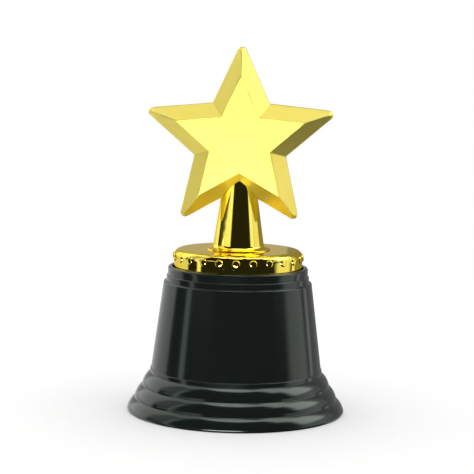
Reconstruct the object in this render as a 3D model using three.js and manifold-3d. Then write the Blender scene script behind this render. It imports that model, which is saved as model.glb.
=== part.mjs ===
// Star trophy: a beveled five-pointed star on a tapered stem and a beaded disc, bolted to a bell-shaped base.
// Millimetres, +Z up, the star faces -Y, and the origin is the centre of the base's resting rim.

import * as THREE from "three";
import { mergeVertices } from "three/addons/utils/BufferGeometryUtils.js";
import Module from "manifold-3d";

const wasm = await Module();
wasm.setup();

// ---- Driving dimensions ----

const ROUND_SEGMENTS = 48;
const SMALL_SEGMENTS = 16;
const ARC_STEPS = 5;
const CORNER_STEPS = 4;

const BASE = {
  footRadius: 34,
  footEdge: 0.3,
  smallEdge: 0.15,
  rimWidth: 2,
  tierCount: 3,
  tierHeight: 4,
  tierTopRadius: 27,
  tierBulgeAngle: THREE.MathUtils.degToRad(23),
  tierWall: 2.2,
  bandRadius: 26.85,
  bandTop: 13.3,
  coneBottomRadius: 26.6,
  coneTopRadius: 23.05,
  coneTop: 40.6,
  stepRadius: 22.25,
  stepDraft: 0.1,
  stepTop: 42.6,
  lipRadius: 21.8,
  lipTop: 45.35,
  lipRounding: 1,
  seatRadius: 20.5,
  seatFloor: 41,
  wall: 2,
  webThickness: 2.2,
  bossRadius: 6.5,
  bossBottom: 34,
  ribCount: 6,
  ribThickness: 1.4,
  ribBottom: 34.8,
};

const COLLAR = {
  radius: 20,
  top: 50.75,
  topRounding: 2,
  footEdge: 0.2,
  wall: 1.6,
  plateThickness: 1.8,
  bossRadius: 5.5,
  ribCount: 8,
  ribThickness: 1.2,
  ribBottom: 42.5,
  spigotHoleRadius: 4.4,
  spigotHoleDepth: 1.6,
  beadCount: 24,
  beadRadius: 1.1,
  beadRise: 0.4,
  beadHeight: 48.4,
  beadSegments: 8,
  beadRings: 6,
};

const STEM = {
  flangeRadius: 9.9,
  flangeThickness: 0.35,
  filletHeight: 1.3,
  coneBottomRadius: 7.85,
  taper: 0.147,
  coneTop: 77,
  wall: 1.6,
  pocketTop: 60,
  spigotRadius: 4.15,
  spigotLength: 1.35,
  boreTop: 66,
  tangWidth: 8,
  tangThickness: 3,
  tangTop: 90,
};

const STAR = {
  centre: 84.4,
  tipRadius: 31.85,
  hollowRadius: 14.84,
  squash: 0.972,
  halfThickness: 8,
  sideBand: 2.4,
  bevelInset: 4.45,
  tipRounding: 1.4,
  hollowRounding: 0.6,
  wall: 1.8,
  stemGap: 0.2,
  pinRingRadius: 15,
  pinRadius: 1.2,
  pinReach: 2.2,
  socketRadius: 2.4,
  socketStart: 0.6,
  socketDepth: 3,
  socketGap: 0.2,
  postRadius: 2.6,
  tangGap: 0.3,
};

const STUD = { radius: 2.35, top: 65.5, bottom: 28, chamfer: 0.5 };
const STUD_HOLE_RADIUS = 2.75;
const STUD_BORE_RADIUS = 2.6;
const WASHER = { radius: 5.5, thickness: 1 };
const NUT = { acrossFlats: 8, thickness: 4, holeRadius: 2.6 };

const OVERLAP = 0.5; // how far joined shapes run into each other before they are merged
const MERGE_TOLERANCE = 1e-4;

// ---- Materials ----

const blackPlastic = new THREE.MeshStandardMaterial({ color: 0x15181a, roughness: 0.3 });
const mirrorGold = new THREE.MeshStandardMaterial({ color: 0xf2c83c, roughness: 0.08, metalness: 1 });
const satinGold = new THREE.MeshStandardMaterial({ color: 0xf4d85a, roughness: 0.35, metalness: 1 });
const zincSteel = new THREE.MeshStandardMaterial({ color: 0xb9bdc0, roughness: 0.35, metalness: 1 });

// ---- Geometry helpers ----

// A closed three.js geometry as a solid that can be joined and cut.
function solidOf(geometry) {
  const positions = geometry.clone().deleteAttribute("normal").deleteAttribute("uv");
  const merged = mergeVertices(positions, MERGE_TOLERANCE);
  return new wasm.Manifold(
    new wasm.Mesh({
      numProp: 3,
      vertProperties: merged.attributes.position.array,
      triVerts: new Uint32Array(merged.index.array),
    }),
  );
}

function meshOf(name, solid, material) {
  const result = solid.getMesh();
  const geometry = new THREE.BufferGeometry();
  geometry.setAttribute("position", new THREE.BufferAttribute(result.vertProperties, 3));
  geometry.setIndex(new THREE.BufferAttribute(result.triVerts, 1));
  geometry.computeVertexNormals();
  const mesh = new THREE.Mesh(geometry, material);
  mesh.name = name;
  return mesh;
}

// Points along a circular arc in the radius-height plane, both ends included.
function arcPoints(centreR, centreZ, radius, fromAngle, toAngle, steps) {
  return Array.from({ length: steps + 1 }, (_, i) => {
    const angle = THREE.MathUtils.lerp(fromAngle, toAngle, i / steps);
    return [centreR + radius * Math.cos(angle), centreZ + radius * Math.sin(angle)];
  });
}

// An arc from one profile point to another that swells to the right of that direction.
function bulgePoints(from, to, halfAngle) {
  const chord = Math.hypot(to[0] - from[0], to[1] - from[1]);
  const radius = chord / (2 * Math.sin(halfAngle));
  const heading = Math.atan2(to[1] - from[1], to[0] - from[0]);
  const offset = radius * Math.cos(halfAngle);
  const centreR = (from[0] + to[0]) / 2 - offset * Math.sin(heading);
  const centreZ = (from[1] + to[1]) / 2 + offset * Math.cos(heading);
  const middle = heading - Math.PI / 2;
  return arcPoints(centreR, centreZ, radius, middle - halfAngle, middle + halfAngle, ARC_STEPS);
}

// A closed profile of [radius, height] points, anticlockwise with the radius to the right, turned about Z.
function turned(profile, segments) {
  const points = profile.map(([r, z]) => new THREE.Vector2(r, z));
  points.push(points[0].clone());
  const geometry = new THREE.LatheGeometry(points, segments);
  geometry.rotateX(Math.PI / 2);
  return solidOf(geometry);
}

function uprightCylinder(bottomRadius, topRadius, bottom, top, segments) {
  const geometry = new THREE.CylinderGeometry(topRadius, bottomRadius, top - bottom, segments);
  geometry.rotateX(Math.PI / 2);
  geometry.translate(0, 0, (bottom + top) / 2);
  return solidOf(geometry);
}

// A round bar along Y, centred on (x, z).
function crossCylinder(radius, yFrom, yTo, x, z) {
  const geometry = new THREE.CylinderGeometry(radius, radius, yTo - yFrom, SMALL_SEGMENTS);
  geometry.translate(x, (yFrom + yTo) / 2, z);
  return solidOf(geometry);
}

// Adds thin upright ribs that run outward from a central boss.
function addRibs(body, count, thickness, innerRadius, outerRadius, bottom, top) {
  let result = body;
  for (let i = 0; i < count; i += 1) {
    const rib = new THREE.BoxGeometry(outerRadius - innerRadius, thickness, top - bottom);
    rib.translate((innerRadius + outerRadius) / 2, 0, (bottom + top) / 2);
    rib.rotateZ(((i + 0.5) * 2 * Math.PI) / count);
    result = result.add(solidOf(rib));
  }
  return result;
}

// ---- Base: a hollow bell with three swelling tiers and a recessed seat in its top ----

function makeBase() {
  const rimInner = BASE.footRadius - BASE.footEdge - BASE.rimWidth;
  const webBottom = BASE.seatFloor - BASE.webThickness;
  const tiersTop = BASE.tierCount * BASE.tierHeight;
  const tierStep = (BASE.footRadius - BASE.tierTopRadius) / BASE.tierCount;

  const outside = [[BASE.footRadius - BASE.footEdge, 0]];
  for (let tier = 0; tier < BASE.tierCount; tier += 1) {
    const lowerHeight = tier === 0 ? BASE.footEdge : tier * BASE.tierHeight;
    const lower = [BASE.footRadius - tier * tierStep, lowerHeight];
    const upper = [BASE.footRadius - (tier + 1) * tierStep, (tier + 1) * BASE.tierHeight];
    const arc = bulgePoints(lower, upper, BASE.tierBulgeAngle);
    outside.push(...(tier === 0 ? arc : arc.slice(1)));
  }
  outside.push(
    [BASE.bandRadius, tiersTop],
    [BASE.bandRadius, BASE.bandTop - BASE.smallEdge],
    [BASE.bandRadius - BASE.smallEdge, BASE.bandTop],
    [BASE.coneBottomRadius, BASE.bandTop],
    [BASE.coneTopRadius, BASE.coneTop],
    [BASE.coneTopRadius - BASE.smallEdge, BASE.coneTop + BASE.smallEdge],
    [BASE.stepRadius, BASE.coneTop + BASE.smallEdge],
    [BASE.stepRadius - BASE.stepDraft, BASE.stepTop],
    [BASE.lipRadius, BASE.stepTop],
    ...arcPoints(
      BASE.lipRadius - BASE.lipRounding,
      BASE.lipTop - BASE.lipRounding,
      BASE.lipRounding,
      0,
      Math.PI / 2,
      ARC_STEPS,
    ),
    [BASE.seatRadius, BASE.lipTop - BASE.smallEdge],
  );

  const inside = [
    [BASE.seatRadius, BASE.seatFloor],
    [STUD_HOLE_RADIUS, BASE.seatFloor],
    [STUD_HOLE_RADIUS, BASE.bossBottom],
    [BASE.bossRadius, BASE.bossBottom],
    [BASE.bossRadius, webBottom],
    [BASE.coneTopRadius - BASE.wall, webBottom],
    [BASE.coneBottomRadius - BASE.wall, BASE.bandTop],
    [BASE.tierTopRadius - BASE.tierWall, tiersTop],
    [rimInner, 0],
  ];

  const shell = turned([...outside, ...inside], ROUND_SEGMENTS);
  return addRibs(
    shell,
    BASE.ribCount,
    BASE.ribThickness,
    BASE.bossRadius - OVERLAP,
    BASE.coneTopRadius - BASE.wall / 2,
    BASE.ribBottom,
    webBottom + OVERLAP,
  );
}

// ---- Collar disc: an inverted cup with a row of low domed beads and a socket for the stem ----

function makeCollar() {
  const plateBottom = COLLAR.top - COLLAR.plateThickness;
  const wallInner = COLLAR.radius - COLLAR.wall;
  const socketFloor = COLLAR.top - COLLAR.spigotHoleDepth;
  const profile = [
    [wallInner, BASE.seatFloor],
    [COLLAR.radius - COLLAR.footEdge, BASE.seatFloor],
    [COLLAR.radius, BASE.seatFloor + COLLAR.footEdge],
    ...arcPoints(
      COLLAR.radius - COLLAR.topRounding,
      COLLAR.top - COLLAR.topRounding,
      COLLAR.topRounding,
      0,
      Math.PI / 2,
      ARC_STEPS,
    ),
    [COLLAR.spigotHoleRadius, COLLAR.top],
    [COLLAR.spigotHoleRadius, socketFloor],
    [STUD_HOLE_RADIUS, socketFloor],
    [STUD_HOLE_RADIUS, BASE.seatFloor],
    [COLLAR.bossRadius, BASE.seatFloor],
    [COLLAR.bossRadius, plateBottom],
    [wallInner, plateBottom],
  ];

  let disc = addRibs(
    turned(profile, ROUND_SEGMENTS),
    COLLAR.ribCount,
    COLLAR.ribThickness,
    COLLAR.bossRadius - OVERLAP,
    wallInner + OVERLAP,
    COLLAR.ribBottom,
    plateBottom + OVERLAP,
  );
  for (let i = 0; i < COLLAR.beadCount; i += 1) {
    const angle = (i * 2 * Math.PI) / COLLAR.beadCount;
    const bead = new THREE.SphereGeometry(COLLAR.beadRadius, COLLAR.beadSegments, COLLAR.beadRings);
    bead.scale(1, COLLAR.beadRise / COLLAR.beadRadius, 1);
    bead.translate(0, -COLLAR.radius, COLLAR.beadHeight);
    bead.rotateZ(angle);
    disc = disc.add(solidOf(bead));
  }
  return disc;
}

// ---- Stem: a tapered tube with a thin foot flange below and a flat tang above ----

function stemRadius(height) {
  const coneBottom = COLLAR.top + STEM.flangeThickness + STEM.filletHeight;
  return STEM.coneBottomRadius - STEM.taper * (height - coneBottom);
}

function makeStem() {
  const flangeTop = COLLAR.top + STEM.flangeThickness;
  const spigotBottom = COLLAR.top - STEM.spigotLength;
  const filletWidth = STEM.flangeRadius - STEM.coneBottomRadius;
  const fillet = Array.from({ length: ARC_STEPS + 1 }, (_, i) => {
    const angle = (i / ARC_STEPS) * (Math.PI / 2);
    return [
      STEM.flangeRadius - filletWidth * Math.sin(angle),
      flangeTop + STEM.filletHeight * (1 - Math.cos(angle)),
    ];
  });
  const profile = [
    [STUD_BORE_RADIUS, spigotBottom],
    [STEM.spigotRadius, spigotBottom],
    [STEM.spigotRadius, STEM.pocketTop],
    [stemRadius(STEM.pocketTop) - STEM.wall, STEM.pocketTop],
    [STEM.coneBottomRadius - STEM.wall, COLLAR.top],
    [STEM.flangeRadius, COLLAR.top],
    ...fillet,
    [stemRadius(STEM.coneTop), STEM.coneTop],
    [0, STEM.coneTop],
    [0, STEM.boreTop],
    [STUD_BORE_RADIUS, STEM.boreTop],
  ];
  const tangBottom = STEM.coneTop - OVERLAP;
  const tang = new THREE.BoxGeometry(STEM.tangWidth, STEM.tangThickness, STEM.tangTop - tangBottom);
  tang.translate(0, 0, (STEM.tangTop + tangBottom) / 2);
  const pinHole = crossCylinder(
    STAR.pinRadius + STAR.tangGap,
    -STEM.tangThickness,
    STEM.tangThickness,
    0,
    STAR.centre,
  );
  return turned(profile, ROUND_SEGMENTS).add(solidOf(tang)).subtract(pinHole);
}

// ---- Star: two moulded half shells that close on each other at Y = 0 ----

function starCorners() {
  return Array.from({ length: 10 }, (_, i) => {
    const radius = i % 2 === 0 ? STAR.tipRadius : STAR.hollowRadius;
    const angle = Math.PI / 2 + (i * Math.PI) / 5;
    return new THREE.Vector2(radius * Math.cos(angle), radius * Math.sin(angle));
  });
}

// Distance from the star's centre to the line of each of its ten edges.
const EDGE_DISTANCE = (() => {
  const [tip, hollow] = starCorners();
  return Math.abs(tip.cross(hollow)) / tip.distanceTo(hollow);
})();

// The star drawn in X and height, squashed a little, then laid so that depth runs towards -Y.
function standUp(geometry) {
  geometry.scale(1, STAR.squash, 1);
  geometry.rotateX(Math.PI / 2);
  geometry.translate(0, 0, STAR.centre);
  return solidOf(geometry);
}

// A star prism whose layers each have their own depth and inset from the sharp outline.
function layeredStar(layers) {
  const spans = layers.length - 1;
  const geometry = new THREE.ExtrudeGeometry(new THREE.Shape(starCorners()), {
    depth: spans,
    steps: spans,
    bevelEnabled: false,
  });
  const position = geometry.attributes.position;
  for (let i = 0; i < position.count; i += 1) {
    const layer = layers[Math.round(position.getZ(i))];
    const scale = 1 - layer.inset / EDGE_DISTANCE;
    position.setXYZ(i, position.getX(i) * scale, position.getY(i) * scale, layer.depth);
  }
  return standUp(geometry);
}

// The star's outline with its tips and hollows rounded by arcs.
function roundedOutline() {
  const corners = starCorners();
  const shape = new THREE.Shape();
  corners.forEach((corner, i) => {
    const before = corners.at(i - 1).clone().sub(corner).normalize();
    const after = corners[(i + 1) % corners.length].clone().sub(corner).normalize();
    const halfAngle = Math.acos(before.dot(after)) / 2;
    const isTip = i % 2 === 0;
    const radius = isTip ? STAR.tipRounding : STAR.hollowRounding;
    const bisector = before.clone().add(after).normalize();
    const centre = bisector.clone().multiplyScalar(radius / Math.sin(halfAngle)).add(corner);
    const reach = radius / Math.tan(halfAngle);
    const start = before.clone().multiplyScalar(reach).add(corner).sub(centre);
    const end = after.clone().multiplyScalar(reach).add(corner).sub(centre);
    shape.absarc(centre.x, centre.y, radius, start.angle(), end.angle(), !isTip);
  });
  return new THREE.Shape(shape.extractPoints(CORNER_STEPS).shape);
}

function halfStarBody() {
  const sharp = layeredStar([
    { depth: 0, inset: 0 },
    { depth: STAR.sideBand, inset: 0 },
    { depth: STAR.halfThickness, inset: STAR.bevelInset },
  ]);
  const rounding = new THREE.ExtrudeGeometry(roundedOutline(), {
    depth: STAR.halfThickness + OVERLAP,
    bevelEnabled: false,
  });
  return sharp.intersect(standUp(rounding));
}

// The inside of a half shell: the same bevel moved in by the wall thickness.
function halfStarCavity() {
  const slope = (STAR.halfThickness - STAR.sideBand) / STAR.bevelInset;
  const bevelShift = STAR.wall * Math.hypot(1, slope);
  const bevelDepth = STAR.sideBand + slope * STAR.wall - bevelShift;
  const floorDepth = STAR.halfThickness - STAR.wall;
  const floorInset = (floorDepth - STAR.sideBand + bevelShift) / slope;
  return layeredStar([
    { depth: -OVERLAP, inset: STAR.wall },
    { depth: bevelDepth, inset: STAR.wall },
    { depth: floorDepth, inset: floorInset },
  ]);
}

// One place in the middle of each arm, where a pin of one shell enters a socket of the other.
function pinPlaces() {
  return Array.from({ length: 5 }, (_, i) => {
    const angle = Math.PI / 2 + (i * 2 * Math.PI) / 5;
    return {
      x: STAR.pinRingRadius * Math.cos(angle),
      z: STAR.centre + STAR.squash * STAR.pinRingRadius * Math.sin(angle),
    };
  });
}

function stemOpening() {
  const bottom = STAR.centre - STAR.squash * STAR.tipRadius;
  return uprightCylinder(
    stemRadius(bottom) + STAR.stemGap,
    stemRadius(STEM.coneTop) + STAR.stemGap,
    bottom,
    STEM.coneTop + STAR.stemGap,
    ROUND_SEGMENTS,
  );
}

const FLOOR_Y = STAR.halfThickness - STAR.wall + OVERLAP;
const TANG_STOP_Y = STEM.tangThickness / 2 + STAR.tangGap;

function makeStarFront() {
  let shell = halfStarBody().subtract(halfStarCavity()).subtract(stemOpening());
  for (const { x, z } of pinPlaces()) {
    shell = shell.add(crossCylinder(STAR.pinRadius, -FLOOR_Y, STAR.pinReach, x, z));
  }
  const post = crossCylinder(STAR.postRadius, -FLOOR_Y, -TANG_STOP_Y, 0, STAR.centre);
  const pin = crossCylinder(STAR.pinRadius, -FLOOR_Y, TANG_STOP_Y + STAR.pinReach, 0, STAR.centre);
  return shell.add(post).add(pin);
}

function makeStarBack() {
  const halfTurn = new THREE.Matrix4().makeRotationZ(Math.PI).elements;
  let shell = halfStarBody().subtract(halfStarCavity()).transform(halfTurn);
  shell = shell.subtract(stemOpening());
  const sockets = pinPlaces().map((place) => ({ ...place, start: STAR.socketStart }));
  sockets.push({ x: 0, z: STAR.centre, start: TANG_STOP_Y });
  for (const { x, z, start } of sockets) {
    const bore = STAR.pinRadius + STAR.socketGap;
    shell = shell
      .add(crossCylinder(STAR.socketRadius, start, FLOOR_Y, x, z))
      .subtract(crossCylinder(bore, start - OVERLAP, start + STAR.socketDepth, x, z));
  }
  return shell;
}

// ---- Fastening: a threaded stud up into the stem, held by a washer and nut under the base ----

function makeStud() {
  const { radius, top, bottom, chamfer } = STUD;
  return turned(
    [
      [0, bottom],
      [radius - chamfer, bottom],
      [radius, bottom + chamfer],
      [radius, top - chamfer],
      [radius - chamfer, top],
      [0, top],
    ],
    SMALL_SEGMENTS,
  );
}

function makeWasher() {
  const top = BASE.bossBottom;
  const bottom = top - WASHER.thickness;
  return turned(
    [
      [STUD_HOLE_RADIUS, bottom],
      [WASHER.radius, bottom],
      [WASHER.radius, top],
      [STUD_HOLE_RADIUS, top],
    ],
    SMALL_SEGMENTS,
  );
}

function makeNut() {
  const top = BASE.bossBottom - WASHER.thickness;
  const bottom = top - NUT.thickness;
  const cornerRadius = NUT.acrossFlats / Math.sqrt(3);
  const hexagon = uprightCylinder(cornerRadius, cornerRadius, bottom, top, 6);
  const hole = uprightCylinder(NUT.holeRadius, NUT.holeRadius, bottom - OVERLAP, top + OVERLAP, SMALL_SEGMENTS);
  return hexagon.subtract(hole);
}

// ---- Assembly ----

const trophy = new THREE.Group();
trophy.name = "star_trophy";

const topper = new THREE.Group();
topper.name = "topper";
topper.add(
  meshOf("star_front_shell", makeStarFront(), satinGold),
  meshOf("star_back_shell", makeStarBack(), satinGold),
  meshOf("stem", makeStem(), mirrorGold),
  meshOf("collar_disc", makeCollar(), mirrorGold),
);

const fastening = new THREE.Group();
fastening.name = "fastening";
fastening.add(
  meshOf("topper_stud", makeStud(), zincSteel),
  meshOf("stud_washer", makeWasher(), zincSteel),
  meshOf("stud_nut", makeNut(), zincSteel),
);

trophy.add(topper, meshOf("base_shell", makeBase(), blackPlastic), fastening);

export default trophy;
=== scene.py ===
import math

import bmesh
import bpy
from mathutils import Matrix, Vector


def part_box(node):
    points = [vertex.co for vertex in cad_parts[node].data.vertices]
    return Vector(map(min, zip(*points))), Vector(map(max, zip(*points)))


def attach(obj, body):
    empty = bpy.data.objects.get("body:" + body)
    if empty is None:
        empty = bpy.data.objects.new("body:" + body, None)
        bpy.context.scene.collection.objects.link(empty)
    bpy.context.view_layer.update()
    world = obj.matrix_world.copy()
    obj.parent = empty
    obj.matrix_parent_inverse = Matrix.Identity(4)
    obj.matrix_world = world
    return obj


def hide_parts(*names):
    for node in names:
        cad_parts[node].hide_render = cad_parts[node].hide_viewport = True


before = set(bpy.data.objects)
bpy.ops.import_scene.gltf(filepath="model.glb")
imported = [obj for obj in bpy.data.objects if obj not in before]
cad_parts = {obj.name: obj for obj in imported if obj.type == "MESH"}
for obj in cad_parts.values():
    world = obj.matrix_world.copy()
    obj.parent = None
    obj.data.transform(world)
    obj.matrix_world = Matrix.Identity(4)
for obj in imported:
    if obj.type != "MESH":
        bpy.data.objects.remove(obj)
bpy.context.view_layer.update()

# A star trophy on its CAD frame. Shapes are worked out in millimetres and scaled to metres as they are
# meshed. The star faces -Y, and angles round the upright axis start at the front and grow towards +X.

MM = 0.001
MICROMETRE = 1e-6
BODY = "root"

# ---- Sizes read from the frame, in millimetres ----

FOOT_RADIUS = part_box("base_shell")[1].x / MM
LIP_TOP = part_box("base_shell")[1].z / MM
SEAT_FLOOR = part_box("collar_disc")[0].z / MM
COLLAR_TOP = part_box("collar_disc")[1].z / MM
STAR_DEPTH = -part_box("star_front_shell")[0].y / MM
TANG_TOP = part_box("stem")[1].z / MM
STUD_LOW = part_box("topper_stud")[0].z / MM
STUD_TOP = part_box("topper_stud")[1].z / MM
BOSS_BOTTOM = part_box("stud_washer")[1].z / MM
WASHER_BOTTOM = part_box("stud_nut")[1].z / MM
NUT_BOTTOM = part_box("stud_nut")[0].z / MM

# ---- Sizes that repeat the CAD model's, in millimetres ----

TIER_COUNT = 3
TIER_HEIGHT = 4
TIER_TOP_RADIUS = 27
TIER_BULGE = math.radians(23)
BAND_RADIUS = 26.85
BAND_TOP = 13.3
CONE_BOTTOM_RADIUS = 26.6
CONE_TOP_RADIUS = 23.05
CONE_TOP = 40.6
STEP_RADIUS = 22.25
STEP_TOP = 42.6
LIP_RADIUS = 21.8
SEAT_RADIUS = 20.5
BASE_WALL = 2
WEB_BOTTOM = SEAT_FLOOR - 2.2
BASE_BOSS_RADIUS = 6.5
HOLE_RADIUS = 2.75

COLLAR_RADIUS = 20
COLLAR_ROUNDING = 2
COLLAR_WALL = 1.6
COLLAR_PLATE_BOTTOM = COLLAR_TOP - 1.8
BEAD_COUNT = 24
BEAD_RADIUS = 1.1
BEAD_RISE = 0.4
BEAD_HEIGHT = 48.4

FLANGE_RADIUS = 9.9
FLANGE_TOP = COLLAR_TOP + 0.35
STEM_FOOT_RADIUS = 7.85
STEM_FOOT_HEIGHT = FLANGE_TOP + 1.3
STEM_TAPER = 0.147
STEM_CONE_TOP = 77
STEM_BORE_RADIUS = 2.6
STEM_BORE_TOP = 66
TANG_WIDTH = 8
TANG_THICKNESS = 3

STAR_CENTRE = 84.4
STAR_ARMS = 5
STAR_TIP_RADIUS = 31.85
STAR_HOLLOW_RADIUS = 14.84
STAR_SQUASH = 0.972
STAR_SIDE_BAND = 2.4
STAR_BEVEL_INSET = 4.45
STAR_TIP_ROUNDING = 1.4
STAR_WALL = 1.8
STAR_PIN_RING = 15
STAR_PIN_RADIUS = 1.2
STUD_RADIUS = 2.35

# ---- How fine the meshes are ----

BASE_SEGMENTS = 180
STEM_SEGMENTS = 160
FASTENING_SEGMENTS = 96
FLOOR_SEGMENTS = 128
BAR_SEGMENTS = 32
TIER_STEPS = 14
BEAD_CELL_COLUMNS = 8
BEAD_CELL_HALF_HEIGHT = 1.9
SHARP_EDGE = math.radians(40)
FLAT_FACE_WEIGHT = 100


# ---- Mesh helpers ----

def rounded(corners, steps=4):
    """A closed path of 2-D points from corners of (x, y, rounding), each rounded corner drawn as an arc."""
    most_of_a_side = 0.49
    path = []
    for i, (x, y, radius) in enumerate(corners):
        corner = Vector((x, y))
        if radius == 0:
            path.append(corner)
            continue
        before = Vector(corners[i - 1][:2]) - corner
        after = Vector(corners[(i + 1) % len(corners)][:2]) - corner
        half = before.angle(after) / 2
        reach = min(radius / math.tan(half), most_of_a_side * before.length, most_of_a_side * after.length)
        radius = reach * math.tan(half)
        inward = (before.normalized() + after.normalized()).normalized()
        centre = corner + inward * (radius / math.sin(half))
        start = corner + before.normalized() * reach - centre
        turn = start.angle_signed(corner + after.normalized() * reach - centre)
        for k in range(steps + 1):
            path.append(centre + Matrix.Rotation(-turn * k / steps, 2) @ start)
    return path


def bulge(low, high, half_angle, steps):
    """Corners along an arc from low up to high that swells outward."""
    low, high = Vector(low), Vector(high)
    chord = high - low
    radius = chord.length / (2 * math.sin(half_angle))
    outward = Vector((chord.y, -chord.x)).normalized()
    centre = (low + high) / 2 - outward * radius * math.cos(half_angle)
    middle = math.atan2(outward.y, outward.x)
    angles = [middle + half_angle * (2 * k / steps - 1) for k in range(steps + 1)]
    return [(centre.x + radius * math.cos(a), centre.y + radius * math.sin(a), 0) for a in angles]


def around(angle, radius, height):
    """A point in metres, from an angle round the upright axis and a radius and height in millimetres."""
    return Vector((radius * math.sin(angle), -radius * math.cos(angle), height)) * MM


def turned_ring(bm, radius, height, segments):
    """A ring of points round the upright axis; on the axis itself it is one point."""
    if radius == 0:
        return [bm.verts.new((0, 0, height * MM))]
    return [bm.verts.new(around(2 * math.pi * k / segments, radius, height)) for k in range(segments)]


def bridge(bm, ring_a, ring_b):
    """Faces between two closed rings; a ring of one point makes a fan."""
    count = max(len(ring_a), len(ring_b))
    a = ring_a if len(ring_a) > 1 else ring_a * count
    b = ring_b if len(ring_b) > 1 else ring_b * count
    for k in range(count):
        n = (k + 1) % count
        corners = [a[k], a[n], b[n], b[k]]
        bm.faces.new(list(dict.fromkeys(corners)))


def bridge_all(bm, rings):
    """Faces between each ring and the next."""
    for a, b in zip(rings, rings[1:]):
        bridge(bm, a, b)


def turned(path, segments, closed=True):
    """A body of revolution from a path of (radius, height) points."""
    bm = bmesh.new()
    rings = [turned_ring(bm, r, z, segments) for r, z in path]
    bridge_all(bm, rings)
    if closed:
        bridge(bm, rings[-1], rings[0])
    return bm


def bar(radius, start, end):
    """A round bar between two points in millimetres."""
    bm = bmesh.new()
    start, end = Vector(start) * MM, Vector(end) * MM
    bmesh.ops.create_cone(
        bm,
        cap_ends=True,
        segments=BAR_SEGMENTS,
        radius1=radius * MM,
        radius2=radius * MM,
        depth=(end - start).length,
    )
    aim = (end - start).to_track_quat("Z", "Y").to_matrix().to_4x4()
    # half a facet's turn keeps the bar's corners off the edges that it crosses
    turn = Matrix.Rotation(math.pi / BAR_SEGMENTS, 4, "Z")
    bmesh.ops.transform(bm, matrix=Matrix.Translation((start + end) / 2) @ aim @ turn, verts=bm.verts)
    return bm


def block(size, centre, spin, rounding):
    """A box in millimetres with its edges rounded, turned about the upright axis."""
    bm = bmesh.new()
    bmesh.ops.create_cube(bm, size=1)
    bmesh.ops.scale(bm, vec=Vector(size) * MM, verts=bm.verts)
    bmesh.ops.bevel(bm, geom=bm.edges[:], offset=rounding * MM, segments=2, profile=0.5, affect="EDGES")
    place = Matrix.Rotation(spin, 4, "Z") @ Matrix.Translation(Vector(centre) * MM)
    bmesh.ops.transform(bm, matrix=place, verts=bm.verts)
    return bm


def radial_ribs(count, inner, outer, bottom, top, thickness, rounding):
    """Upright ribs that run outward, evenly spaced round the axis."""
    size = (outer - inner, thickness, top - bottom)
    centre = ((inner + outer) / 2, 0, (top + bottom) / 2)
    return [block(size, centre, (k + 0.5) * 2 * math.pi / count, rounding) for k in range(count)]


def to_object(name, bm):
    """Turns a bmesh into a scene object, with its faces pointing outward, and frees it."""
    bmesh.ops.recalc_face_normals(bm, faces=bm.faces)
    mesh = bpy.data.meshes.new(name)
    bm.to_mesh(mesh)
    bm.free()
    obj = bpy.data.objects.new(name, mesh)
    bpy.context.scene.collection.objects.link(obj)
    return obj


def apply_modifiers(obj):
    """Gives obj the mesh that its modifiers make, and removes them."""
    bpy.context.view_layer.update()
    depsgraph = bpy.context.evaluated_depsgraph_get()
    mesh = bpy.data.meshes.new_from_object(obj.evaluated_get(depsgraph))
    old = obj.data
    obj.modifiers.clear()
    obj.data = mesh
    mesh.name = obj.name
    bpy.data.meshes.remove(old)


def combine(obj, tools, operation):
    """Joins each of the tool bmeshes to obj (UNION), or cuts it out of obj (DIFFERENCE)."""
    for bm in tools:
        tool = to_object("tool", bm)
        boolean = obj.modifiers.new("combine", "BOOLEAN")
        boolean.solver = "EXACT"
        boolean.operation = operation
        boolean.object = tool
        apply_modifiers(obj)
        bpy.data.objects.remove(tool)


def weld_slivers(obj):
    """Removes the slivers that a cut can leave where two edges all but meet."""
    gap = 0.002 * MM
    bm = bmesh.new()
    bm.from_mesh(obj.data)
    bmesh.ops.remove_doubles(bm, verts=bm.verts, dist=gap)
    bmesh.ops.dissolve_degenerate(bm, edges=bm.edges, dist=gap)
    bm.to_mesh(obj.data)
    bm.free()


def finish_piece(obj, material, node):
    """Smooth shading that keeps the flats flat, then the piece takes its node's place."""
    for polygon in obj.data.polygons:
        polygon.use_smooth = True
    obj.data.set_sharp_from_angle(angle=SHARP_EDGE)
    flats = obj.modifiers.new("flat_faces", "WEIGHTED_NORMAL")
    flats.keep_sharp = True
    flats.weight = FLAT_FACE_WEIGHT
    obj.data.materials.clear()
    obj.data.materials.append(material)
    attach(obj, BODY)
    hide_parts(node)


# ---- Materials ----

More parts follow.
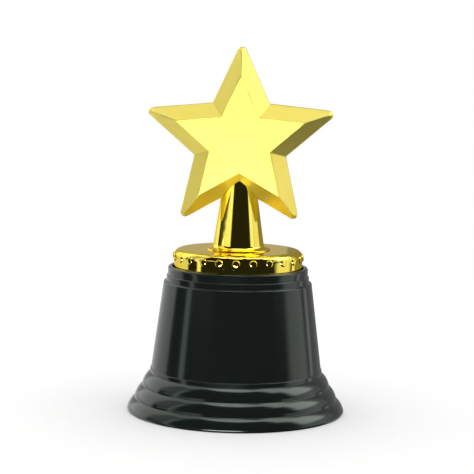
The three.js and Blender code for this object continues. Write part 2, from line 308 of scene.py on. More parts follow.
class Nodes:
    """A short way to build a material's node tree round one Principled shader."""

    def __init__(self, name):
        self.material = bpy.data.materials.new(name)
        self.material.use_nodes = True
        self.tree = self.material.node_tree
        self.shader = self.tree.nodes["Principled BSDF"]
        self.place = self.add("TexCoord").outputs["Object"]

    def add(self, kind, **settings):
        node = self.tree.nodes.new("ShaderNode" + kind)
        for key, value in settings.items():
            setattr(node, key, value)
        return node

    def link(self, source, target):
        self.tree.links.new(source, target)

    def noise(self, per_mm, detail, roughness=0.5, stretch=(1, 1, 1)):
        """Noise with about per_mm lumps to the millimetre; a stretch below 1 lengthens them on that axis."""
        mapping = self.add("Mapping")
        mapping.inputs["Scale"].default_value = stretch
        self.link(self.place, mapping.inputs["Vector"])
        noise = self.add("TexNoise")
        noise.inputs["Scale"].default_value = per_mm / MM
        noise.inputs["Detail"].default_value = detail
        noise.inputs["Roughness"].default_value = roughness
        self.link(mapping.outputs["Vector"], noise.inputs["Vector"])
        return noise.outputs["Fac"]

    def remap(self, value, low, high, to_low=0.0, to_high=1.0):
        """Eases from to_low, where the value is low, to to_high, where it is high."""
        node = self.add("MapRange", interpolation_type="SMOOTHSTEP")
        node.inputs["From Min"].default_value = low
        node.inputs["From Max"].default_value = high
        node.inputs["To Min"].default_value = to_low
        node.inputs["To Max"].default_value = to_high
        self.link(value, node.inputs["Value"])
        return node.outputs["Result"]

    def math(self, operation, a, b):
        node = self.add("Math", operation=operation)
        for socket, value in zip(node.inputs, (a, b)):
            if isinstance(value, (int, float)):
                socket.default_value = value
            else:
                self.link(value, socket)
        return node.outputs["Value"]

    def blend(self, factor, colour_a, colour_b):
        node = self.add("Mix", data_type="RGBA")
        self.link(factor, node.inputs["Factor"])
        colour_inputs = [s for s in node.inputs if s.type == "RGBA"]
        for socket, value in zip(colour_inputs, (colour_a, colour_b)):
            if isinstance(value, tuple):
                socket.default_value = (*value, 1)
            else:
                self.link(value, socket)
        return next(s for s in node.outputs if s.type == "RGBA")

    def edges(self, radius_mm):
        """About 0 on flats and 1 along edges, from how far a bevelled normal leans from the true one."""
        in_line, leaning = 1.0, 0.9
        bevel = self.add("Bevel", samples=4)
        bevel.inputs["Radius"].default_value = radius_mm * MM
        true_normal = self.add("NewGeometry").outputs["Normal"]
        dot = self.add("VectorMath", operation="DOT_PRODUCT")
        self.link(bevel.outputs["Normal"], dot.inputs[0])
        self.link(true_normal, dot.inputs[1])
        return self.remap(dot.outputs["Value"], low=in_line, high=leaning)

    def bump(self, *heights):
        """Chains bumps of (height, depth in micrometres) into the shader's normal."""
        normal = None
        for height, depth in heights:
            node = self.add("Bump")
            node.inputs["Strength"].default_value = 1.0
            node.inputs["Distance"].default_value = depth * MICROMETRE
            self.link(height, node.inputs["Height"])
            if normal:
                self.link(normal, node.inputs["Normal"])
            normal = node.outputs["Normal"]
        self.link(normal, self.shader.inputs["Normal"])

    def to(self, socket, value):
        """Sets one of the shader's sockets to a number or colour, or links it to a node's output."""
        if isinstance(value, (int, float)):
            self.shader.inputs[socket].default_value = value
        elif isinstance(value, tuple):
            self.shader.inputs[socket].default_value = (*value, 1)
        else:
            self.link(value, self.shader.inputs[socket])


def black_plastic():
    """Semi-gloss black moulding: a fine mottle, upright streaks, smudges and greyer, worn edges."""
    dark, pale, edge_tone = (0.0052, 0.0074, 0.0066), (0.0080, 0.0108, 0.0100), (0.030, 0.033, 0.033)
    edge_share, streak_roughness = 0.5, 0.04
    n = Nodes("black_plastic")
    broad = n.noise(per_mm=0.12, detail=4)
    fine = n.noise(per_mm=3.0, detail=2)
    streaks = n.noise(per_mm=1.2, detail=2, stretch=(1, 1, 0.06))
    edge_mask = n.edges(radius_mm=0.25)
    tone = n.blend(n.remap(fine, low=0.3, high=0.7), dark, pale)
    n.to("Base Color", n.blend(n.math("MULTIPLY", edge_mask, edge_share), tone, edge_tone))
    smudge = n.remap(broad, low=0.35, high=0.75, to_low=0.11, to_high=0.13)
    n.to("Roughness", n.math("ADD", smudge, n.math("MULTIPLY", streaks, streak_roughness)))
    n.to("IOR", 1.58)
    # painted tint of light: the plastic's reflections are tinted green to stand in for the studio light's
    # colour
    n.to("Specular Tint", (0.86, 1.0, 0.90))
    n.bump((broad, 0.5), (streaks, 0.4), (fine, 0.8))
    return n.material


def mirror_gold():
    """Bright metallised plastic: gold that varies slowly, faint smears and a slightly wavy surface."""
    light, deep = (1.0, 0.82, 0.145), (0.97, 0.77, 0.11)
    n = Nodes("mirror_gold")
    broad = n.noise(per_mm=0.18, detail=3)
    smear = n.noise(per_mm=0.6, detail=4, roughness=0.6)
    n.to("Base Color", n.blend(n.remap(broad, low=0.3, high=0.7), light, deep))
    n.to("Metallic", 1.0)
    n.to("Specular Tint", (1.0, 0.86, 0.42))
    n.to("Roughness", n.remap(smear, low=0.45, high=0.8, to_low=0.04, to_high=0.10))
    n.bump((n.noise(per_mm=0.25, detail=1), 9), (n.noise(per_mm=2.5, detail=2), 0.6))
    return n.material


def satin_gold():
    """Satin metallised plastic: a fine grain, and shinier edges that are painted a paler gold as a painted
    highlight.
    """
    # the paler gold at the edges, and its share, paint a highlight along the star's ridges and rims
    light, deep, edge_tone = (1.0, 0.855, 0.185), (0.985, 0.83, 0.165), (1.0, 0.92, 0.32)
    edge_share, polish = 0.6, 0.08
    n = Nodes("satin_gold")
    broad = n.noise(per_mm=0.10, detail=3)
    grain = n.noise(per_mm=9.0, detail=2)
    edge_mask = n.edges(radius_mm=0.35)
    tone = n.blend(n.remap(broad, low=0.3, high=0.7), light, deep)
    # painted highlight: the edges and ridges are blended towards the paler gold
    n.to("Base Color", n.blend(n.math("MULTIPLY", edge_mask, edge_share), tone, edge_tone))
    n.to("Metallic", 1.0)
    satin = n.remap(n.noise(per_mm=0.7, detail=4), low=0.3, high=0.75, to_low=0.44, to_high=0.47)
    n.to("Roughness", n.math("SUBTRACT", satin, n.math("MULTIPLY", edge_mask, polish)))
    n.bump((broad, 6), (grain, 1.2))
    return n.material


def zinc_steel():
    """Bright zinc plate with drawn lines along the upright axis and worn edges."""
    light, dull, edge_tone = (0.62, 0.64, 0.66), (0.50, 0.52, 0.55), (0.8, 0.8, 0.8)
    edge_share = 0.6
    n = Nodes("zinc_steel")
    broad = n.noise(per_mm=0.5, detail=4)
    lines = n.noise(per_mm=4.0, detail=2, stretch=(1, 1, 0.15))
    tone = n.blend(n.remap(broad, low=0.35, high=0.7), light, dull)
    n.to("Base Color", n.blend(n.math("MULTIPLY", n.edges(radius_mm=0.2), edge_share), tone, edge_tone))
    n.to("Metallic", 1.0)
    n.to("Roughness", n.remap(lines, low=0.3, high=0.7, to_low=0.24, to_high=0.42))
    n.bump((lines, 2), (broad, 6))
    return n.material


def pale_floor():
    light, dark = (0.86, 0.86, 0.86), (0.83, 0.83, 0.835)
    n = Nodes("pale_floor")
    n.to("Base Color", n.blend(n.noise(per_mm=0.02, detail=3), light, dark))
    n.to("Roughness", 0.8)
    n.to("Specular IOR Level", 0.1)
    return n.material


# ---- Base ----

def base_corners():
    """The base's section as (radius, height, rounding): up the outside, down the seat, then the hollow."""
    tier_step = (FOOT_RADIUS - TIER_TOP_RADIUS) / TIER_COUNT
    tiers_top = TIER_COUNT * TIER_HEIGHT
    foot_edge = 0.3
    tier_crease = 0.12
    # each ledge above the tiers rises inward by a hair or more
    hair = 0.02
    shoulder_rise, step_lean, boss_lean = 0.1, 0.1, 0.25
    rim_inner = FOOT_RADIUS - foot_edge - BASE_WALL
    corners = [(FOOT_RADIUS - foot_edge, 0, 0.1)]
    for tier in range(TIER_COUNT):
        low = (FOOT_RADIUS - tier * tier_step, tier * TIER_HEIGHT or foot_edge)
        high = (FOOT_RADIUS - (tier + 1) * tier_step, (tier + 1) * TIER_HEIGHT)
        arc = bulge(low, high, TIER_BULGE, TIER_STEPS)
        corners += arc[1:-1] + [(*high, tier_crease)]
    corners += [
        (BAND_RADIUS + hair, tiers_top + hair, 0),
        (BAND_RADIUS, BAND_TOP, 0.14),
        (CONE_BOTTOM_RADIUS, BAND_TOP + hair, 0.12),
        (CONE_TOP_RADIUS, CONE_TOP + shoulder_rise, 0.6),
        (STEP_RADIUS, CONE_TOP + shoulder_rise + 3 * hair, 0.1),
        (STEP_RADIUS - step_lean, STEP_TOP, 0.3),
        (LIP_RADIUS, STEP_TOP + 2 * hair, 0.08),
        (LIP_RADIUS, LIP_TOP, 0.95),
        (SEAT_RADIUS, LIP_TOP, 0.25),
        (SEAT_RADIUS, SEAT_FLOOR, 0.2),
        (HOLE_RADIUS, SEAT_FLOOR, 0.15),
        (HOLE_RADIUS, BOSS_BOTTOM, 0.15),
        (BASE_BOSS_RADIUS, BOSS_BOTTOM, 0.3),
        (BASE_BOSS_RADIUS + boss_lean, WEB_BOTTOM, 0.4),
        (CONE_TOP_RADIUS - BASE_WALL, WEB_BOTTOM, 0.8),
        (CONE_BOTTOM_RADIUS - BASE_WALL, BAND_TOP, 2),
        (TIER_TOP_RADIUS - 1.1 * BASE_WALL, tiers_top, 2),
        (rim_inner, 0, 0.15),
    ]
    return corners


def make_base(material):
    """The hollow bell, with ribs between its boss and its wall."""
    rib_overlap, rib_root = 0.5, 0.6
    obj = to_object("base_shell_bell", turned(rounded(base_corners()), BASE_SEGMENTS))
    ribs = radial_ribs(
        count=6,
        inner=BASE_BOSS_RADIUS - rib_overlap,
        outer=CONE_TOP_RADIUS - BASE_WALL / 2,
        bottom=34.8,
        top=WEB_BOTTOM + rib_root,
        thickness=1.4,
        rounding=0.25,
    )
    combine(obj, ribs, "UNION")
    finish_piece(obj, material, "base_shell")


# ---- Collar disc with its row of beads ----

def collar_top_edge(lean):
    """Radius and height on the rounding of the disc's top edge, where its surface has turned by lean."""
    radius = COLLAR_RADIUS - COLLAR_ROUNDING * (1 - math.cos(lean))
    return radius, COLLAR_TOP - COLLAR_ROUNDING * (1 - math.sin(lean))


def collar_surface(angle, rise):
    """A point on the disc's rim: up the wall, then along the rounding of its top edge."""
    wall_left = COLLAR_TOP - COLLAR_ROUNDING - BEAD_HEIGHT
    if rise <= wall_left:
        return around(angle, COLLAR_RADIUS, BEAD_HEIGHT + rise)
    return around(angle, *collar_top_edge((rise - wall_left) / COLLAR_ROUNDING))


def add_bead_cell(bm, boundary, boundary_places, centre_angle):
    """One bead: a dome of rings that spreads into the wall, joined to its cell's boundary."""
    dome_steps, dome_lean, crowding = 9, math.radians(84), 1.5
    flatness = 0.5
    foot_spread, spread_shares = 0.12, (0.0, 0.12, 0.5)
    first_spoke = math.radians(-135)
    count = len(boundary)
    out = around(centre_angle, 1, 0) / MM
    side = Vector((math.cos(centre_angle), math.sin(centre_angle), 0))
    up = Vector((0, 0, 1))
    origin = around(centre_angle, COLLAR_RADIUS, BEAD_HEIGHT)
    spokes = [first_spoke + 2 * math.pi * k / count for k in range(count)]
    rings = [[bm.verts.new(origin + out * BEAD_RISE * MM)]]
    for step in range(1, dome_steps + 1):
        lean = (step / dome_steps) ** crowding * dome_lean
        reach = BEAD_RADIUS * math.sin(lean) ** flatness
        lift = BEAD_RISE * math.cos(lean) ** flatness
        rings.append([
            bm.verts.new(
                origin + (side * math.cos(s) * reach + up * math.sin(s) * reach + out * lift) * MM
            )
            for s in spokes
        ])
    foot_radius = BEAD_RADIUS + foot_spread
    foot = [(math.cos(s) * foot_radius, math.sin(s) * foot_radius) for s in spokes]
    # rings that pass from the bead's round foot to its cell's square boundary
    for share in spread_shares:
        ring = []
        for (u, v), (edge_u, edge_v) in zip(foot, boundary_places):
            across, rise = u + (edge_u - u) * share, v + (edge_v - v) * share
            ring.append(bm.verts.new(collar_surface(centre_angle + across / COLLAR_RADIUS, rise)))
        rings.append(ring)
    rings.append(boundary)
    bridge_all(bm, rings)


def add_bead_row(bm, low_ring, high_ring):
    """Fills the band between two rings of the disc with bead cells that share their upright sides."""
    columns, half = BEAD_CELL_COLUMNS, BEAD_CELL_HALF_HEIGHT
    cell_angle = 2 * math.pi / BEAD_COUNT
    half_width = COLLAR_RADIUS * cell_angle / 2
    rises = [half * (2 * k / columns - 1) for k in range(1, columns)]
    sides = [
        [bm.verts.new(collar_surface((cell - 0.5) * cell_angle, rise)) for rise in rises]
        for cell in range(BEAD_COUNT)
    ]
    total = len(low_ring)
    widths = [half_width * (2 * k / columns - 1) for k in range(columns + 1)]
    places = (
        [(w, -half) for w in widths]
        + [(half_width, r) for r in rises]
        + [(w, half) for w in reversed(widths)]
        + [(-half_width, r) for r in reversed(rises)]
    )
    for cell in range(BEAD_COUNT):
        first = cell * columns - columns // 2
        bottom = [low_ring[(first + k) % total] for k in range(columns + 1)]
        top = [high_ring[(first + k) % total] for k in range(columns + 1)]
        left, right = sides[cell], sides[(cell + 1) % BEAD_COUNT]
        boundary = bottom + right + top[::-1] + left[::-1]
        add_bead_cell(bm, boundary, places, cell * cell_angle)


def make_collar(material):
    """An inverted cup: beaded rim, socket and boss in the middle, ribs underneath."""
    wall_inner = COLLAR_RADIUS - COLLAR_WALL
    socket_radius, socket_floor = 4.4, COLLAR_TOP - 1.6
    boss_radius = 5.5
    rounding_steps = 7
    rib_overlap = 0.5
    first_lean = (BEAD_CELL_HALF_HEIGHT - (COLLAR_TOP - COLLAR_ROUNDING - BEAD_HEIGHT)) / COLLAR_ROUNDING
    rest_of_lean = math.pi / 2 - first_lean
    rim = [
        (*collar_top_edge(first_lean + rest_of_lean * k / rounding_steps), 0)
        for k in range(rounding_steps + 1)
    ]
    corners = rim + [
        (socket_radius, COLLAR_TOP, 0.15),
        (socket_radius, socket_floor, 0.1),
        (HOLE_RADIUS, socket_floor, 0.1),
        (HOLE_RADIUS, SEAT_FLOOR, 0.1),
        (boss_radius, SEAT_FLOOR, 0.2),
        (boss_radius, COLLAR_PLATE_BOTTOM, 0.3),
        (wall_inner, COLLAR_PLATE_BOTTOM, 0.6),
        (wall_inner, SEAT_FLOOR, 0.15),
        (COLLAR_RADIUS, SEAT_FLOOR, 0.2),
        (COLLAR_RADIUS, BEAD_HEIGHT - BEAD_CELL_HALF_HEIGHT, 0),
    ]
    bm = bmesh.new()
    rings = [turned_ring(bm, r, z, BEAD_COUNT * BEAD_CELL_COLUMNS) for r, z in rounded(corners)]
    bridge_all(bm, rings)
    add_bead_row(bm, rings[-1], rings[0])
    obj = to_object("collar_disc_beaded", bm)
    ribs = radial_ribs(
        count=8,
        inner=boss_radius - rib_overlap,
        outer=wall_inner + rib_overlap,
        bottom=42.5,
        top=COLLAR_PLATE_BOTTOM + rib_overlap,
        thickness=1.2,
        rounding=0.2,
    )
    combine(obj, ribs, "UNION")
    finish_piece(obj, material, "collar_disc")


# ---- Stem ----

def stem_radius(height):
    """The cone's radius at a height."""
    return STEM_FOOT_RADIUS - STEM_TAPER * (height - STEM_FOOT_HEIGHT)


def make_stem(material):
    """The tapered tube with its flange and spigot, and the tang that the star halves trap."""
    spigot_radius, spigot_bottom = 4.15, COLLAR_TOP - 1.35
    pocket_top, wall = 60, 1.6
    flange_rim = 0.35
    flare = FLANGE_RADIUS - STEM_FOOT_RADIUS
    flare_height = STEM_FOOT_HEIGHT - FLANGE_TOP
    flare_steps = 10
    fillet = []
    for k in range(flare_steps + 1):
        turn = math.pi / 2 * k / flare_steps
        fillet.append((
            FLANGE_RADIUS - flange_rim - (flare - flange_rim) * math.sin(turn),
            FLANGE_TOP + flare_height * (1 - math.cos(turn)),
            0,
        ))
    corners = [
        (0, STEM_BORE_TOP, 0),
        (STEM_BORE_RADIUS, STEM_BORE_TOP, 0),
        (STEM_BORE_RADIUS, spigot_bottom, 0.15),
        (spigot_radius, spigot_bottom, 0.2),
        (spigot_radius, pocket_top, 0.2),
        (stem_radius(pocket_top) - wall, pocket_top, 0.2),
        (STEM_FOOT_RADIUS - wall, COLLAR_TOP, 0.1),
        (FLANGE_RADIUS, COLLAR_TOP, 0.06),
        (FLANGE_RADIUS, FLANGE_TOP, 0.14),
        *fillet,
        (stem_radius(STEM_CONE_TOP), STEM_CONE_TOP, 0.4),
        (0, STEM_CONE_TOP, 0),
    ]
    obj = to_object("stem_cone", turned(rounded(corners), STEM_SEGMENTS, closed=False))
    tang_root, pin_clearance = 0.5, 0.3
    tang_low = STEM_CONE_TOP - tang_root
    tang_size = (TANG_WIDTH, TANG_THICKNESS, TANG_TOP - tang_low)
    tang = block(tang_size, (0, 0, (TANG_TOP + tang_low) / 2), spin=0, rounding=0.3)
    combine(obj, [tang], "UNION")
    hole = bar(
        STAR_PIN_RADIUS + pin_clearance,
        (0, -TANG_THICKNESS, STAR_CENTRE),
        (0, TANG_THICKNESS, STAR_CENTRE),
    )
    combine(obj, [hole], "DIFFERENCE")
    finish_piece(obj, material, "stem")


# ---- Star ----

def star_corners():
    """The sharp outline's corners, from the top tip round to the left, as 2-D vectors."""
    corners = []
    for k in range(2 * STAR_ARMS):
        radius = STAR_HOLLOW_RADIUS if k % 2 else STAR_TIP_RADIUS
        angle = math.pi / 2 + k * math.pi / STAR_ARMS
        corners.append(Vector((radius * math.cos(angle), radius * math.sin(angle))))
    return corners


def edge_distance():
    """How far the outline's edges lie from the star's centre."""
    tip, hollow = star_corners()[:2]
    return abs(tip.cross(hollow)) / (tip - hollow).length


def star_ring(bm, inset, depth, direction):
    """One closed ring of the star at an inset from its outline; direction is -1 in front and 1 behind."""
    hollow_rounding, ridge_rounding = 0.5, 0.15
    scale = 1 - inset / edge_distance()
    tip_rounding = max(STAR_TIP_ROUNDING - inset, ridge_rounding)
    corners = []
    for k, corner in enumerate(star_corners()):
        corners.append((corner.x * scale, corner.y * scale, hollow_rounding if k % 2 else tip_rounding))
    return [
        bm.verts.new(Vector((p.x, direction * depth, STAR_CENTRE + STAR_SQUASH * p.y)) * MM)
        for p in rounded(corners, steps=6)
    ]


def star_half(direction):
    """One hollow half of the star, open at the middle plane."""
    seam, face_margin = 0.14, 2
    face_edge, side_edge = 0.25, 0.6
    bevel_steps = 8
    slope = (STAR_DEPTH - STAR_SIDE_BAND) / STAR_BEVEL_INSET
    bevel_shift = STAR_WALL * math.hypot(1, slope)
    floor_depth = STAR_DEPTH - STAR_WALL
    outside = rounded([
        (STAR_BEVEL_INSET + face_margin, STAR_DEPTH, 0),
        (STAR_BEVEL_INSET, STAR_DEPTH, face_edge),
        (0, STAR_SIDE_BAND, side_edge),
        (0, seam, 0),
        (seam, 0, 0),
    ])
    inside = [
        (STAR_WALL, 0),
        (STAR_WALL, STAR_SIDE_BAND + slope * STAR_WALL - bevel_shift),
        ((floor_depth - STAR_SIDE_BAND + bevel_shift) / slope, floor_depth),
    ]
    # the longest stretch is the bevel, which gets rings of its own
    bevel = max(range(1, len(outside)), key=lambda k: (outside[k] - outside[k - 1]).length)
    top, foot = outside[bevel - 1], outside[bevel]
    outside[bevel:bevel] = [top.lerp(foot, k / bevel_steps) for k in range(1, bevel_steps)]
    bm = bmesh.new()
    rings = [star_ring(bm, inset, depth, direction) for inset, depth in [*outside, *inside]]
    bridge_all(bm, rings)
    for ring, depth in ((rings[0], STAR_DEPTH), (rings[-1], floor_depth)):
        centre = bm.verts.new(Vector((0, direction * depth, STAR_CENTRE)) * MM)
        bridge(bm, ring, [centre])
    return bm


def star_pin_places():
    """The middle of each arm as (across, height)."""
    places = []
    for k in range(STAR_ARMS):
        angle = math.pi / 2 + k * 2 * math.pi / STAR_ARMS
        rise = STAR_SQUASH * STAR_PIN_RING * math.sin(angle)
        places.append((STAR_PIN_RING * math.cos(angle), STAR_CENTRE + rise))
    return places


def stem_opening():
    """The space that the stem's cone takes out of the star."""
    gap, room_above = 0.08, 0.2
    low, high = STAR_CENTRE - STAR_TIP_RADIUS, STEM_CONE_TOP + room_above
    path = [(0, low), (stem_radius(low) + gap, low), (stem_radius(STEM_CONE_TOP) + gap, high), (0, high)]
    return turned(path, STEM_SEGMENTS, closed=False)


def make_star(material):
    """Front half with pins and a centre post, back half with sockets and bores for them."""
    root, overlap = 0.5, 1
    floor = STAR_DEPTH - STAR_WALL + root
    tang_stop = 1.8
    pin_reach, post_radius = 2.2, 2.6
    socket_radius, socket_start = 2.4, 0.6
    bore_clearance, bore_depth = 0.2, 3
    front = to_object("star_front_half", star_half(-1))
    combine(front, [stem_opening()], "DIFFERENCE")
    pins = [bar(STAR_PIN_RADIUS, (x, -floor, z), (x, pin_reach, z)) for x, z in star_pin_places()]
    pins.append(bar(post_radius, (0, -floor, STAR_CENTRE), (0, -tang_stop, STAR_CENTRE)))
    pins.append(bar(
        STAR_PIN_RADIUS,
        (0, -tang_stop - overlap, STAR_CENTRE),
        (0, tang_stop + pin_reach, STAR_CENTRE),
    ))
    combine(front, pins, "UNION")
    weld_slivers(front)
    finish_piece(front, material, "star_front_shell")

    back = to_object("star_back_half", star_half(1))
    combine(back, [stem_opening()], "DIFFERENCE")
    sockets = [(x, z, socket_start) for x, z in star_pin_places()] + [(0, STAR_CENTRE, tang_stop)]
    combine(back, [bar(socket_radius, (x, start, z), (x, floor, z)) for x, z, start in sockets], "UNION")
    bores = [
        bar(STAR_PIN_RADIUS + bore_clearance, (x, start - overlap, z), (x, start + bore_depth, z))
        for x, z, start in sockets
    ]
    combine(back, bores, "DIFFERENCE")
    weld_slivers(back)
    finish_piece(back, material, "star_back_shell")


# ---- Fastening ----

def make_stud(material):
    """An M5 stud: a helical thread of 0.8 mm pitch as ridges on a turned bar."""
    pitch, thread_depth, columns, rows_per_turn = 0.8, 0.42, 32, 8
    chamfer = 0.6
    length = STUD_TOP - STUD_LOW
    rows = round(length / pitch * rows_per_turn)
    bm = bmesh.new()
    rings = [[bm.verts.new((0, 0, STUD_LOW * MM))]]
    for row in range(rows + 1):
        height = STUD_LOW + length * row / rows
        end_gap = min(height - STUD_LOW, STUD_TOP - height)
        limit = STUD_RADIUS - chamfer + min(end_gap, chamfer)
        ring = []
        for column in range(columns):
            phase = (height / pitch - column / columns) % 1
            ridge = STUD_RADIUS - thread_depth * abs(2 * phase - 1)
            ring.append(bm.verts.new(around(2 * math.pi * column / columns, min(ridge, limit), height)))
        rings.append(ring)
    rings.append([bm.verts.new((0, 0, STUD_TOP * MM))])
    bridge_all(bm, rings)
    finish_piece(to_object("topper_stud_threaded", bm), material, "topper_stud")


def make_washer(material):
    radius, edge = 5.5, 0.18
    corners = [
        (HOLE_RADIUS, WASHER_BOTTOM, edge),
        (radius, WASHER_BOTTOM, edge),
        (radius, BOSS_BOTTOM, edge),
        (HOLE_RADIUS, BOSS_BOTTOM, edge),
    ]
    obj = to_object("stud_washer_flat", turned(rounded(corners), FASTENING_SEGMENTS))
    finish_piece(obj, material, "stud_washer")


def make_nut(material):
    """A hexagon nut: corners cut back by a cone at both ends, and a countersunk hole."""
    half_flats, hole, columns = 4.0, 2.6, FASTENING_SEGMENTS
    flat_circle, chamfer_slope, countersink = 3.85, math.tan(math.radians(30)), 0.35

    def hexagon(k):
        turn = (2 * math.pi * k / columns) % (math.pi / 3) - math.pi / 6
        return half_flats / math.cos(turn)

    def cut_back(k):
        return (hexagon(k) - flat_circle) * chamfer_slope

    def ring(radii, heights):
        return [
            bm.verts.new(around(2 * math.pi * k / columns, radii(k), heights(k))) for k in range(columns)
        ]

    bm = bmesh.new()
    low, high = NUT_BOTTOM, WASHER_BOTTOM
    rings = [
        ring(lambda k: hole, lambda k: low + countersink),
        ring(lambda k: hole + countersink, lambda k: low),
        ring(lambda k: flat_circle, lambda k: low),
        ring(hexagon, lambda k: low + cut_back(k)),
        ring(hexagon, lambda k: high - cut_back(k)),
        ring(lambda k: flat_circle, lambda k: high),
        ring(lambda k: hole + countersink, lambda k: high),
        ring(lambda k: hole, lambda k: high - countersink),
    ]
    bridge_all(bm, rings + rings[:1])
    finish_piece(to_object("stud_nut_hex", bm), material, "stud_nut")


# ---- Studio ----

def make_floor():
    """A round slab just under the foot, which the gold and the black don't reflect."""
    radius, thickness, rounding, gap = 300, 4, 1, 0.02
    section = [(0, 0, 0), (radius, 0, 0), (radius, -thickness, rounding), (0, -thickness, 0)]
    obj = to_object("floor", turned(rounded(section), FLOOR_SEGMENTS, closed=False))
    obj.location.z = -gap * MM
    obj.data.materials.append(pale_floor())
    obj.visible_glossy = False


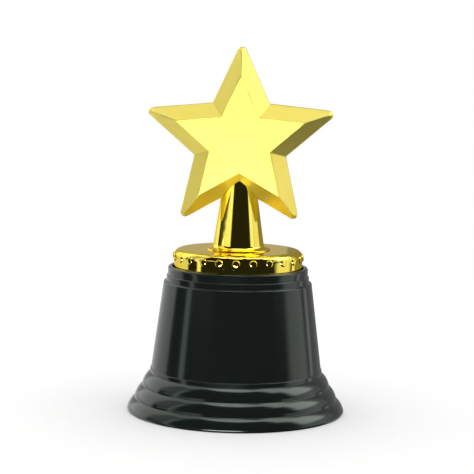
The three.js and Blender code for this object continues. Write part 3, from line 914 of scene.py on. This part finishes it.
def make_world():
    """Soft boxes round the trophy, drawn by direction; the camera itself sees a plain pale backdrop."""
    ambient, diffuse_light, backdrop = 0.018, 1.26, 1.0
    world = bpy.data.worlds.new("studio")
    bpy.context.scene.world = world
    world.use_nodes = True
    tree = world.node_tree
    background = tree.nodes["Background"]

    def add(kind, **settings):
        node = tree.nodes.new("ShaderNode" + kind)
        for key, value in settings.items():
            setattr(node, key, value)
        return node

    def math_node(operation, *values):
        node = add("Math", operation=operation)
        for socket, value in zip(node.inputs, values):
            if isinstance(value, (int, float)):
                socket.default_value = value
            else:
                tree.links.new(value, socket)
        return node.outputs[0]

    def step(value, at, soft, falling=False):
        """1 past a value and 0 before it, or the other way round if falling."""
        node = add("MapRange", interpolation_type="SMOOTHSTEP")
        node.inputs["From Min"].default_value = at - soft
        node.inputs["From Max"].default_value = at + soft
        node.inputs["To Min"].default_value = 1.0 if falling else 0.0
        node.inputs["To Max"].default_value = 0.0 if falling else 1.0
        tree.links.new(value, node.inputs["Value"])
        return node.outputs["Result"]

    def window(value, span, soft):
        return math_node("MULTIPLY", step(value, span[0], soft), step(value, span[1], soft, falling=True))

    # directions in degrees: azimuth from the front towards +X, elevation up from level
    split = add("SeparateXYZ")
    tree.links.new(add("TexCoord").outputs["Generated"], split.inputs[0])
    degrees = 180 / math.pi
    side = math_node("ARCTAN2", split.outputs["X"], math_node("MULTIPLY", split.outputs["Y"], -1.0))
    azimuth = math_node("MULTIPLY", side, degrees)
    elevation = math_node("MULTIPLY", math_node("ARCSINE", split.outputs["Z"]), degrees)

    # the height above a line that sinks towards the back, as reflections in an upright cone do
    line_swing, line_middle = -14.4, 7.5
    half_side = math_node("MULTIPLY", side, 0.5)
    sinking = math_node("MULTIPLY_ADD", math_node("COSINE", half_side), line_swing, line_middle)
    lift = math_node("ADD", elevation, sinking)

    # above a low line each box stands a little further round than below it
    spread_height, spread_soft, spread = -5, 2, -0.065
    above = step(elevation, spread_height, spread_soft)
    near = math_node("MULTIPLY", azimuth, math_node("MULTIPLY_ADD", above, spread, 1.0))

    def soft_box(sides, rise, strength, soft, height=elevation):
        """A box between two azimuths and two heights; soft is how far its sides and its ends fade."""
        shape = math_node("MULTIPLY", window(near, sides, soft[0]), window(height, rise, soft[1]))
        return math_node("MULTIPLY", shape, strength)

    boxes = [
        # overhead, then lower towards the right, the left and the back
        soft_box(sides=(-84, 70), rise=(70, 91), strength=3.2, soft=(12, 2.5)),
        soft_box(sides=(60, 104), rise=(50, 74), strength=2.7, soft=(8, 4)),
        soft_box(sides=(-104, -74), rise=(54, 74), strength=1.2, soft=(8, 4)),
        soft_box(sides=(104, 190), rise=(56, 91), strength=0.5, soft=(8, 4)),
        soft_box(sides=(-190, -104), rise=(56, 91), strength=0.5, soft=(8, 4)),
        # the right side, from its front edge round to the back
        soft_box(sides=(74, 108), rise=(-25, 50), strength=0.9, soft=(6, 4)),
        soft_box(sides=(74, 112), rise=(22, 50), strength=2.2, soft=(6, 4)),
        soft_box(sides=(114, 123), rise=(-25, 0), strength=0.95, soft=(1.5, 3)),
        soft_box(sides=(123, 190), rise=(-60, -12), strength=0.46, soft=(1.5, 3)),
        soft_box(sides=(123, 190), rise=(-12, 56), strength=0.25, soft=(1.5, 3)),
        soft_box(sides=(108, 123), rise=(4, 56), strength=0.5, soft=(1.5, 4)),
        # a thin strip along the sinking line, on the right
        soft_box(sides=(56, 73), rise=(2, 8), strength=1.1, soft=(3, 1), height=lift),
        # the left side: an upright strip, then round to the back
        soft_box(sides=(-76, -68), rise=(-30, 50), strength=1.0, soft=(1.5, 4)),
        soft_box(sides=(-190, -99), rise=(-60, 1), strength=0.75, soft=(2.5, 3)),
        soft_box(sides=(-140, -99), rise=(1, 56), strength=1.2, soft=(2.5, 3)),
        soft_box(sides=(-190, -140), rise=(1, 56), strength=0.45, soft=(2.5, 3)),
        soft_box(sides=(-99, -78), rise=(14, 56), strength=0.5, soft=(2.5, 4)),
        # a thin strip along the sinking line, on the left
        soft_box(sides=(-90, -34), rise=(2, 7.5), strength=1.15, soft=(3, 1), height=lift),
        # below level: a dim one on the left, and a small bright one in front for the star's low bevels
        soft_box(sides=(-125, -66), rise=(-70, -25), strength=0.2, soft=(6, 6)),
        soft_box(sides=(-30, 8), rise=(-31, -17), strength=20.0, soft=(6, 2.5)),
    ]
    light = boxes[0]
    for box in boxes[1:]:
        light = math_node("ADD", light, box)

    # a dark streak that slants across the lights on the left
    streak_slant, streak_shift, streak_depth = -5.7, 22.8, -0.95
    streak_sides, streak_rise, streak_soft = (-109, -91), (3.5, 11.5), (3, 1)
    slanted = math_node("ADD", azimuth, math_node("MULTIPLY_ADD", elevation, streak_slant, streak_shift))
    streak_width = window(slanted, streak_sides, streak_soft[0])
    streak = math_node("MULTIPLY", streak_width, window(elevation, streak_rise, streak_soft[1]))
    light = math_node("MULTIPLY", light, math_node("MULTIPLY_ADD", streak, streak_depth, 1.0))
    light = math_node("ADD", light, ambient)

    rays = add("LightPath")
    for kind, strength in (("Is Diffuse Ray", diffuse_light), ("Is Camera Ray", backdrop)):
        choice = add("Mix", data_type="FLOAT")
        tree.links.new(rays.outputs[kind], choice.inputs[0])
        tree.links.new(light, choice.inputs[2])
        choice.inputs[3].default_value = strength
        light = choice.outputs[0]
    tree.links.new(light, background.inputs["Color"])
    world.cycles.sampling_method = "NONE"


def make_camera():
    """The camera stands a little to the right of the front and looks slightly down, with a small roll."""
    azimuth, distance, height = math.radians(1.7), 515.2, 111.3
    aim_across, aim_height, roll = -0.5, 54.5, math.radians(1.15)
    sensor_width, lens = 36, 126.5
    nearest, farthest = 0.01, 20
    place = around(azimuth, distance, height)
    across = Vector((math.cos(azimuth), math.sin(azimuth), 0))
    aim = (across * aim_across + Vector((0, 0, aim_height))) * MM
    forward = (aim - place).normalized()
    right = forward.cross(Vector((0, 0, 1))).normalized()
    up = right.cross(forward)
    rolled_right = right * math.cos(roll) + up * math.sin(roll)
    rolled_up = up * math.cos(roll) - right * math.sin(roll)
    data = bpy.data.cameras.new("camera")
    data.sensor_width = sensor_width
    data.lens = lens
    data.clip_start = nearest
    data.clip_end = farthest
    camera = bpy.data.objects.new("camera", data)
    axes = Matrix((rolled_right, rolled_up, -forward)).transposed()
    camera.matrix_world = Matrix.Translation(place) @ axes.to_4x4()
    bpy.context.scene.collection.objects.link(camera)
    bpy.context.scene.camera = camera


make_camera()
make_world()
make_floor()
bpy.context.scene.view_settings.view_transform = "Standard"

make_base(black_plastic())
gold = mirror_gold()
make_collar(gold)
make_stem(gold)
make_star(satin_gold())
steel = zinc_steel()
make_stud(steel)
make_washer(steel)
make_nut(steel)
